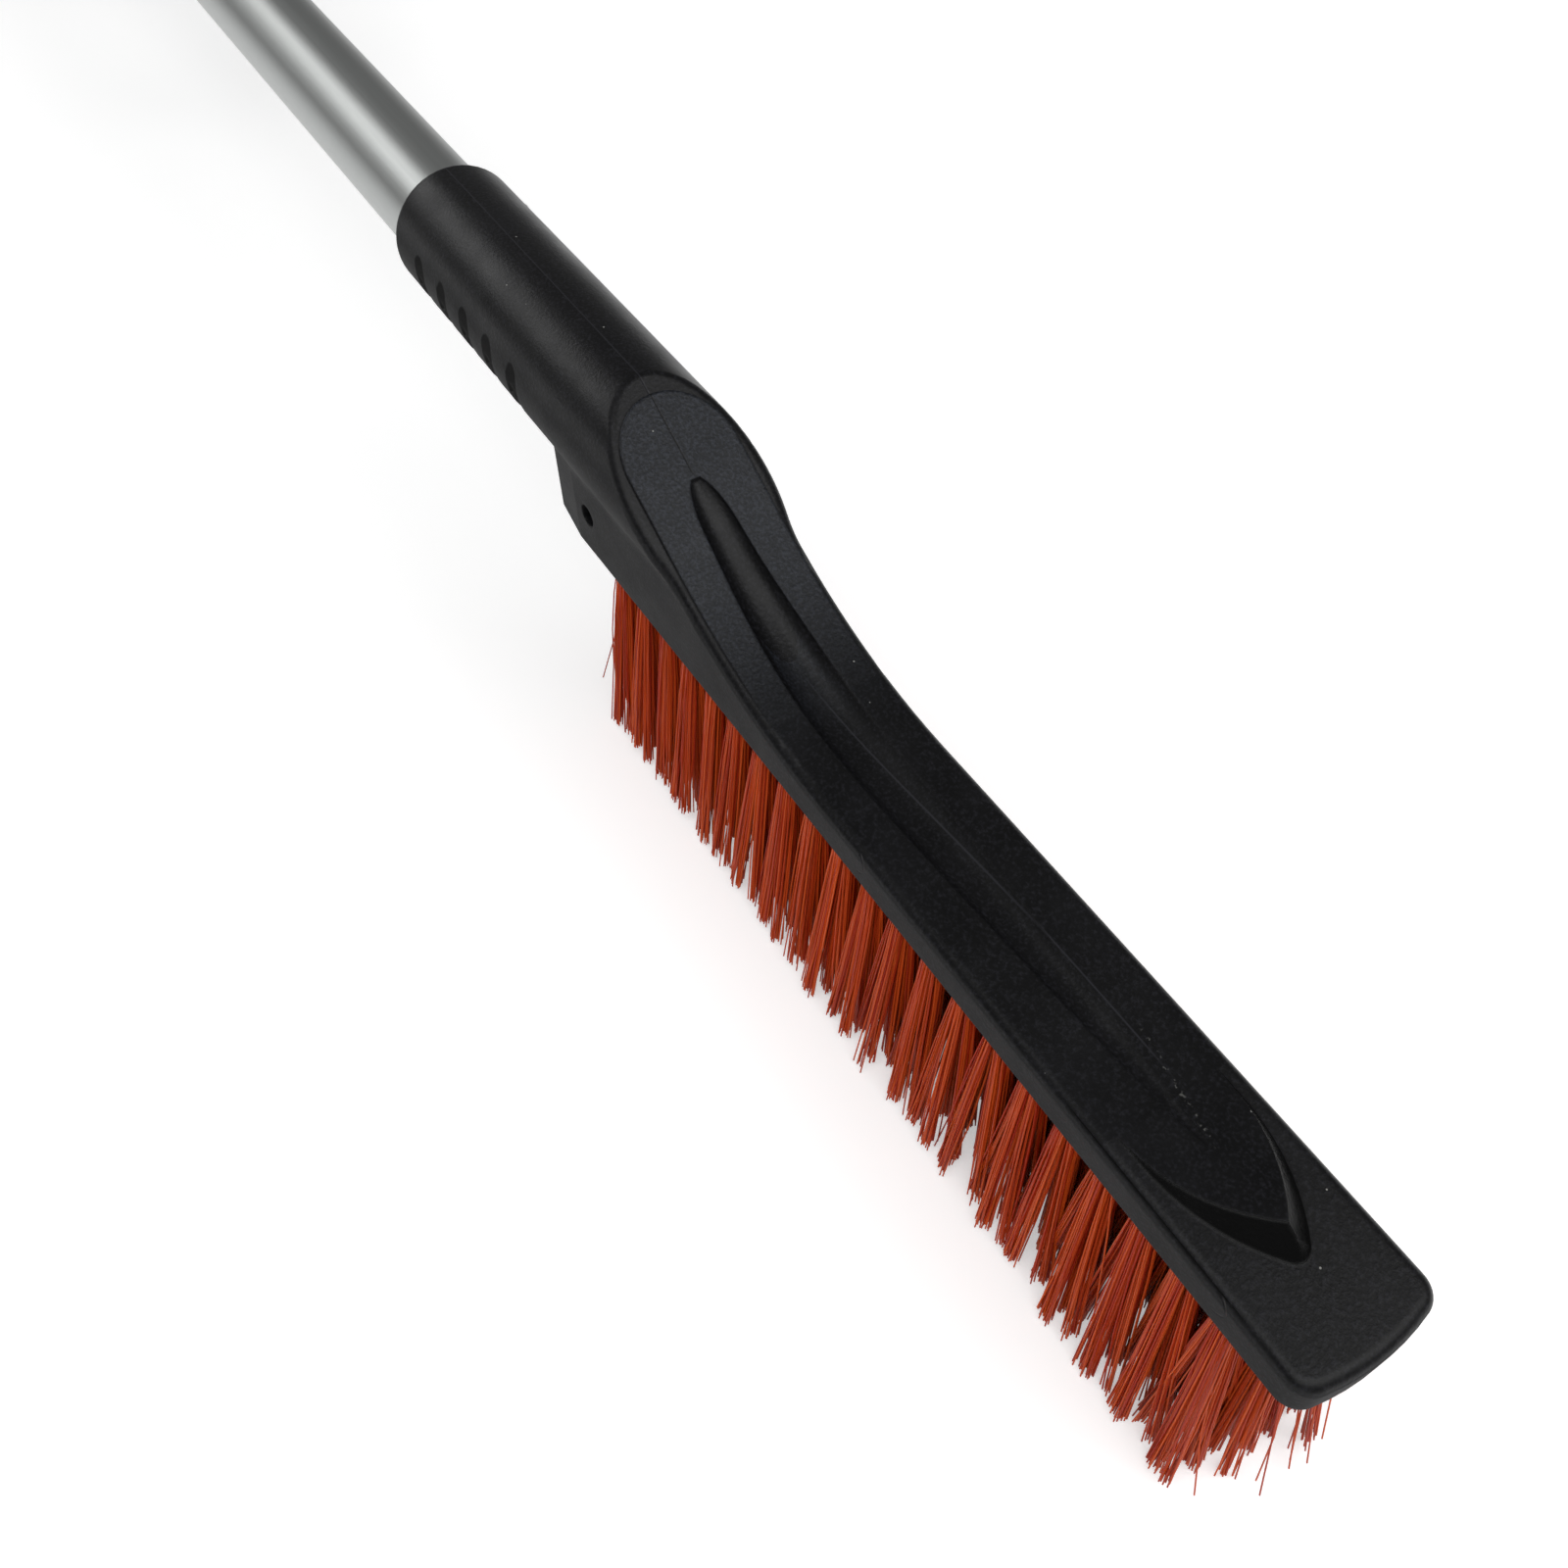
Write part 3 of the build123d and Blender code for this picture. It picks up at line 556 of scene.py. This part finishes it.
# %% [markdown]
# One filament is modelled once with ordinary tools: a five-sided circle is filled and extruded
# upwards three times, which gives a thin rod with four rings to bend. The brush holds about
# seventeen thousand of them, too many to place and bend by hand one by one, so each row's mesh
# is then made of bent copies of this one rod.

# %% One filament
FILAMENT_R = 0.14        # millimetres, as the rod's sides are; its height is 1, the whole length
SIDES, STEPS = 5, 3

bpy.ops.object.select_all(action="DESELECT")
bpy.ops.mesh.primitive_circle_add(vertices=SIDES, radius=FILAMENT_R, fill_type="NGON")
rod = bpy.context.active_object
bpy.ops.object.mode_set(mode="EDIT")
for _ in range(STEPS):
    bpy.ops.mesh.extrude_region_move(TRANSFORM_OT_translate={"value": (0, 0, 1 / STEPS)})
bpy.ops.mesh.select_all(action="SELECT")
bpy.ops.mesh.normals_make_consistent(inside=False)
bpy.ops.object.mode_set(mode="OBJECT")
ROD_POINTS = np.array([v.co for v in rod.data.vertices])
ROD_FACES = [tuple(face.vertices) for face in rod.data.polygons]
bpy.data.objects.remove(rod)
print("one filament:", len(ROD_POINTS), "corners,", len(ROD_FACES), "faces")

# %% [markdown]
# A bundle of filaments isn't an even cone. Its filaments stand close in the hole, fan out
# towards the tips and cling together in a few small locks, which end at slightly different
# heights. Near the brush's tip the bundles are worn and fan out most. Points spread evenly over
# a disc, each turned by the golden angle, say where each filament stands.

# %% A bundle of filaments
PER_BUNDLE = 200
ROOT_R = 1.9
REAR_FAN, TIP_FAN, FAN_POWER = 5.6, 7.6, 1.5
LOCKS, LOCK_PULL, LOCK_TURN, LOCK_LENGTH = 6, 0.6, 0.4, 0.6
WORN_BACK, WORN_POWER = 4.0, 8     # wear turns the last bundles back a little
DRIFT_ALONG, DRIFT_ACROSS, SCATTER = 0.7, 0.5, 0.35
SHORTER, UNEVEN, BOW, BULGE = -0.3, 0.45, 0.35, 0.25
GOLDEN = math.pi * (3 - math.sqrt(5))


def disc_point(share, angle):
    return np.array([math.cos(angle), math.sin(angle)]) * math.sqrt(share)


def bundle_lines(root, tip, forward, chance):
    """Start, end and sideways bow of every filament of one bundle, in millimetres."""
    axis = tip - root
    length = np.linalg.norm(axis)
    axis /= length
    side = np.cross(axis, (0, 1, 0))
    side /= np.linalg.norm(side)
    over = np.cross(side, axis)
    fan = REAR_FAN + (TIP_FAN - REAR_FAN) * forward**FAN_POWER
    locks = [disc_point((k + 0.6) / LOCKS, k * GOLDEN + chance.gauss(0, LOCK_TURN))
             for k in range(LOCKS)]
    lock_length = [chance.gauss(0, LOCK_LENGTH) for _ in range(LOCKS)]
    drift = np.array([chance.gauss(0, DRIFT_ALONG), chance.gauss(0, DRIFT_ACROSS)])
    lines = []
    for k in range(PER_BUNDLE):
        spot = disc_point((k + 0.5) / PER_BUNDLE, k * GOLDEN)
        nearest = min(range(LOCKS), key=lambda n: np.linalg.norm(locks[n] - spot))
        reach = spot * fan + (locks[nearest] * fan - spot * fan) * LOCK_PULL
        reach += drift + np.array([chance.gauss(0, SCATTER), chance.gauss(0, SCATTER)])
        reach[0] -= WORN_BACK * forward**WORN_POWER
        out = side * spot[0] + over * spot[1]
        long = length + lock_length[nearest] + chance.gauss(SHORTER, UNEVEN)
        end = root + axis * long + side * reach[0] + over * reach[1]
        end[2] = max(end[2], FILAMENT_R * 2)   # the brush stands on the ground
        bow = side * chance.gauss(0, BOW) + over * chance.gauss(0, BOW)
        lines.append((root + out * ROOT_R, end, bow - out * BULGE))
    return lines

# %% [markdown]
# A few filaments always stray. They stand out at the ends of the rows, where nothing holds
# them. Each is listed with its bundle, how far its tip leans forward and across, and how much
# longer it is than its bundle, in millimetres.

# %% Stray filaments
STRAYS = {
    "bristle_row_1": [(0, -9.0, -2.5, -6.0), (0, -6.0, -1.0, -5.0), (0, -4.5, -2.0, -14.0),
                      (9, 6.0, -3.5, 1.0), (14, -6.5, -3.0, 1.0), (17, 8.0, -4.0, 0.5),
                      (20, -1.0, -4.0, 2.5), (20, 4.0, -3.0, 1.0)],
    "bristle_row_2": [(20, 3.0, -2.0, 3.0), (20, 5.0, -3.0, 2.0), (20, 1.0, -4.5, 3.5),
                      (19, 5.0, -5.0, 2.0)],
    "bristle_row_3": [(20, 4.5, -1.0, 0.5), (20, 6.0, -2.0, 0.0), (20, 2.5, -3.0, 2.0),
                      (20, 5.5, 1.0, -4.0), (20, 3.5, -4.0, 4.0), (20, 4.5, -5.0, 3.0)],
    "bristle_row_4": [(20, 5.0, -1.0, -2.0), (20, 7.0, -1.0, -10.0), (20, 3.0, -3.0, 2.0)],
}
STRAY_ROOT = (1.4, 1.2)      # towards the rim of the hole, on the side it leans to
STRAY_LOWEST, STRAY_BOW = 1.0, 0.8


def stray_lines(row, ends, chance):
    """Start, end and sideways bow of the loose filaments of one row, in millimetres."""
    lines = []
    for bundle, forward, across, longer in STRAYS[row]:
        root, tip = ends[bundle]
        length = np.linalg.norm(tip - root)
        end = root + (tip - root) / length * (length + longer) + np.array([forward, across, 0.0])
        end[2] = max(end[2], STRAY_LOWEST)
        start = root + np.array([math.copysign(STRAY_ROOT[0], forward),
                                 math.copysign(STRAY_ROOT[1], across), 0])
        bow = np.array([chance.gauss(0, STRAY_BOW), chance.gauss(0, STRAY_BOW), 0.0])
        lines.append((start, end, bow))
    return lines

# %% [markdown]
# Now each row's mesh: every line becomes a bent copy of the rod. The copy's own height tells how
# far along the line a corner lies, and the bow is largest halfway. The rows ride on the brush
# and stand for the CAD cones.

# %% The four rows
SEED = 7


def bent_rod(start, end, bow):
    height = ROD_POINTS[:, 2:3]
    points = start + (end - start) * height + bow * (4 * height * (1 - height))
    points[:, :2] += ROD_POINTS[:, :2]
    return points


def filament_row(row, chance):
    """The filaments of one row as one mesh, each with its own tone."""
    ends = [(root / MM, tip / MM) for root, tip in bundles[row]]
    lines = [line for number, (root, tip) in enumerate(ends)
             for line in bundle_lines(root, tip, number / (len(ends) - 1), chance)]
    lines += stray_lines(row, ends, chance)
    points = np.concatenate([bent_rod(*line) for line in lines]) * MM
    faces = [tuple(corner + k * len(ROD_POINTS) for corner in face)
             for k in range(len(lines)) for face in ROD_FACES]
    mesh = bpy.data.meshes.new(row.replace("row", "filaments"))
    mesh.from_pydata(points.tolist(), [], faces)
    tones = np.repeat([chance.random() for _ in lines], len(ROD_POINTS))
    mesh.attributes.new("tone", "FLOAT", "POINT").data.foreach_set("value", tones)
    piece = bpy.data.objects.new(mesh.name, mesh)
    scene.collection.objects.link(piece)
    dress(piece, filament_finish)
    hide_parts(row)
    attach(piece, "brush")
    return piece


chance = random.Random(SEED)
filament_rows = [filament_row(row, chance) for row in bundles]
print("faces in each row:", [len(piece.data.polygons) for piece in filament_rows])

# %% [markdown]
# The grip is a sleeve of closed-cell foam pushed over the tube. Real sleeves aren't straight
# pipes: the ends roll in where they were cut, and shallow ribs round the middle help the hand.
# One ring is added at the rear end and extruded along the tube, and after each step the new ring
# is scaled to the profile's radius. The same walk back inside gives the wall and closes it.

# %% The sleeve's profile
grip_low, grip_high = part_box("foam_grip")
outer_low, outer_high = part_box("outer_tube")
GRIP_R = (grip_high.z - grip_low.z) / 2
GRIP_LEN = grip_high.x - grip_low.x
BORE_R = (outer_high.z - outer_low.z) / 2 + 0.15 * MM
ROLL_LEN, ROLL_DROP, ROLL_STEPS = 4.0 * MM, 3.0 * MM, 6
RIB_PITCH, RIBS = 9.0 * MM, 9
RIB_SHAPE = [(-1.6, 0.0), (-0.8, 0.75), (0.0, 1.0), (0.8, 0.75), (1.6, 0.0)]
RIB_DEPTH = 0.7 * MM


def grip_profile():
    """Distance along the sleeve and outside radius, from the rear end to the front."""
    profile = []
    for k in range(ROLL_STEPS + 1):
        bend = math.pi / 2 * k / ROLL_STEPS
        profile.append((ROLL_LEN * (1 - math.cos(bend)),
                        GRIP_R - ROLL_DROP * (1 - math.sin(bend))))
    rolled = list(profile)
    first = GRIP_LEN / 2 - RIB_PITCH * (RIBS - 1) / 2
    for rib in range(RIBS):
        profile += [(first + rib * RIB_PITCH + along * MM, GRIP_R - share * RIB_DEPTH)
                    for along, share in RIB_SHAPE]
    return profile + [(GRIP_LEN - x, r) for x, r in reversed(rolled)]


profile = grip_profile()
print("sleeve:", round(GRIP_LEN / MM, 1), "mm long,", len(profile), "rings outside")

# %% [markdown]
# The walk itself is a loop of two operators. The mouth's edge is a small step, so that the bore
# doesn't start with a razor-sharp lip. Normals are made consistent once the first and the last
# ring are merged.

# %% Foam sleeve
RING_POINTS = 72
LIP_R, LIP_LEN = 0.4 * MM, 0.6 * MM
MERGE = 0.01 * MM


def walk_rings(profile):
    """Extrudes the selected ring along +X through the profile, scaling it at each step."""
    (x, radius), rest = profile[0], profile[1:]
    for next_x, next_radius in rest:
        bpy.ops.mesh.extrude_region_move(TRANSFORM_OT_translate={"value": (next_x - x, 0, 0)})
        scale = next_radius / radius
        bpy.ops.transform.resize(value=(1, scale, scale),
                                 center_override=(grip_low.x + next_x, 0, AXIS_Z))
        x, radius = next_x, next_radius


bpy.ops.object.select_all(action="DESELECT")
bpy.ops.mesh.primitive_circle_add(vertices=RING_POINTS, radius=profile[0][1],
                                  fill_type="NOTHING", location=(grip_low.x, 0, AXIS_Z),
                                  rotation=(0, math.pi / 2, 0))
grip = bpy.context.active_object
bpy.ops.object.transform_apply(location=True, rotation=True, scale=True)
grip.name = "foam_sleeve"
bpy.ops.object.mode_set(mode="EDIT")
bpy.ops.mesh.select_all(action="SELECT")
walk_rings(profile + [(GRIP_LEN, BORE_R + LIP_R), (GRIP_LEN - LIP_LEN, BORE_R),
                      (LIP_LEN, BORE_R), (0, BORE_R + LIP_R), profile[0]])
bpy.ops.mesh.select_all(action="SELECT")
bpy.ops.mesh.remove_doubles(threshold=MERGE)
bpy.ops.mesh.normals_make_consistent(inside=False)
bpy.ops.object.mode_set(mode="OBJECT")
bpy.ops.object.shade_smooth()
print("foam sleeve:", len(grip.data.polygons), "faces")

# %% [markdown]
# Closed-cell nitrile foam is matt: light sinks into thousands of tiny skinned bubbles. Cells of
# about half a millimetre are drawn as shallow dents, and hands leave slightly polished patches.

# %% Foam finish
CELLS_PER_MM = 1.8


def nitrile_foam():
    material, tree = begin("closed_cell_nitrile_foam")
    place = millimetres(tree, grip_low)
    cells = add(tree, "TexVoronoi", {"Vector": place, "Scale": CELLS_PER_MM})
    patches = add(tree, "TexNoise", {"Vector": place, "Scale": 0.04, "Detail": 3.0})
    pressed = within(tree, (patches, 0.45, 0.7))
    colour = add(tree, "Mix", {0: pressed, 6: linear("#1D1D1E"), 7: linear("#262627")},
                 data_type="RGBA")
    rough = add(tree, "MapRange", {"Value": pressed, "To Min": 0.92, "To Max": 0.78})
    bump = add(tree, "Bump", {"Height": cells, "Strength": 0.6, "Distance": 0.15 * MM})
    shader = add(tree, "BsdfPrincipled", {"Base Color": colour, "Roughness": rough,
                 "IOR": 1.5, "Specular IOR Level": 0.3, "Normal": bump})
    add(tree, "OutputMaterial", {"Surface": shader})
    return material


dress(grip, nitrile_foam())
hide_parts("foam_grip")
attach(grip, "handle")
print("foam sleeve dressed")

# %% [markdown]
# The stage is a plain white floor. Its matt part catches the lamps and keeps the tool's shadow.
# A part that shines by itself is added for the camera, in reflections and through clear parts,
# which makes it a full white there, and it fades out a few metres away, as a paper sweep in a
# studio ends. It sends no light to the tool.

# %% Floor
FLOOR_SIZE = 40.0
GLOW_NEAR, GLOW_FAR = 1.0, 3.5
FLOOR_WHITE = "#ECECEC"
FLOOR_GLOW = 0.42


def white_floor():
    material, tree = begin("white_studio_floor")
    matt = add(tree, "BsdfDiffuse", {"Color": linear(FLOOR_WHITE)})
    path = add(tree, "LightPath").outputs
    seen = add(tree, "Math", {0: path["Is Glossy Ray"], 1: path["Is Transmission Ray"]},
               operation="MAXIMUM")
    seen = add(tree, "Math", {0: path["Is Camera Ray"], 1: seen}, operation="MAXIMUM")
    coords = add(tree, "TexCoord").outputs["Object"]
    away = add(tree, "VectorMath", {0: coords}, operation="LENGTH")
    strength = all_of(tree, [seen, within(tree, (away, GLOW_FAR, GLOW_NEAR)), FLOOR_GLOW])
    glow = add(tree, "Emission", {"Color": (1, 1, 1, 1), "Strength": strength})
    both = add(tree, "AddShader", {0: matt, 1: glow})
    add(tree, "OutputMaterial", {"Surface": both})
    return material


bpy.ops.object.select_all(action="DESELECT")
bpy.ops.mesh.primitive_plane_add(size=FLOOR_SIZE)
floor = bpy.context.active_object
floor.name = "floor"
dress(floor, white_floor())
print("floor laid")

# %% [markdown]
# Black plastic shows its surroundings more than its own colour, so the room matters. It is an
# even grey, with one long softbox beside the handle for the stripe on tube and socket, one above
# the head for the slanted panel, and a broad, dim one for even light on the bristles. A lamp's
# energy is worked out from its size, so that its brightness can be set by itself.

# %% Room and lamps
ROOM_LEVEL = 0.2
world = bpy.data.worlds.new("grey_room")
scene.world = world
world.use_nodes = True
world.node_tree.nodes.clear()
room = add(world.node_tree, "Background", {"Color": (1, 1, 1, 1), "Strength": ROOM_LEVEL})
add(world.node_tree, "OutputWorld", {"Surface": room})


def softbox(name, aim, direction, distance, size, radiance):
    """A soft lamp of a given size in metres and brightness, looking at a point of the tool."""
    data = bpy.data.lights.new(name, "AREA")
    data.shape = "RECTANGLE"
    data.size, data.size_y = size
    data.energy = radiance * math.pi * size[0] * size[1]
    lamp = bpy.data.objects.new(name, data)
    lamp.location = aim + Vector(direction).normalized() * distance
    lamp.rotation_euler = (aim - lamp.location).to_track_quat("-Z", "Y").to_euler()
    scene.collection.objects.link(lamp)


SOCKET_MIDDLE = BLOCK_START - Vector((0.03, 0, 0))
PANEL_MIDDLE = BLOCK_START + Vector((0.03, 0, 0))
BLOCK_MIDDLE = BLOCK_START + Vector((0.10, 0, 0))
softbox("handle_softbox", SOCKET_MIDDLE, direction=(-0.79, -0.36, 0.50), distance=1.5,
        size=(1.0, 0.3), radiance=3.9)
softbox("head_softbox", PANEL_MIDDLE, direction=(0.50, 0.34, 0.80), distance=1.2,
        size=(0.90, 0.90), radiance=2.3)
softbox("broad_panel", BLOCK_MIDDLE, direction=(0.25, -0.35, 0.9), distance=1.4,
        size=(1.2, 1.2), radiance=2.1)
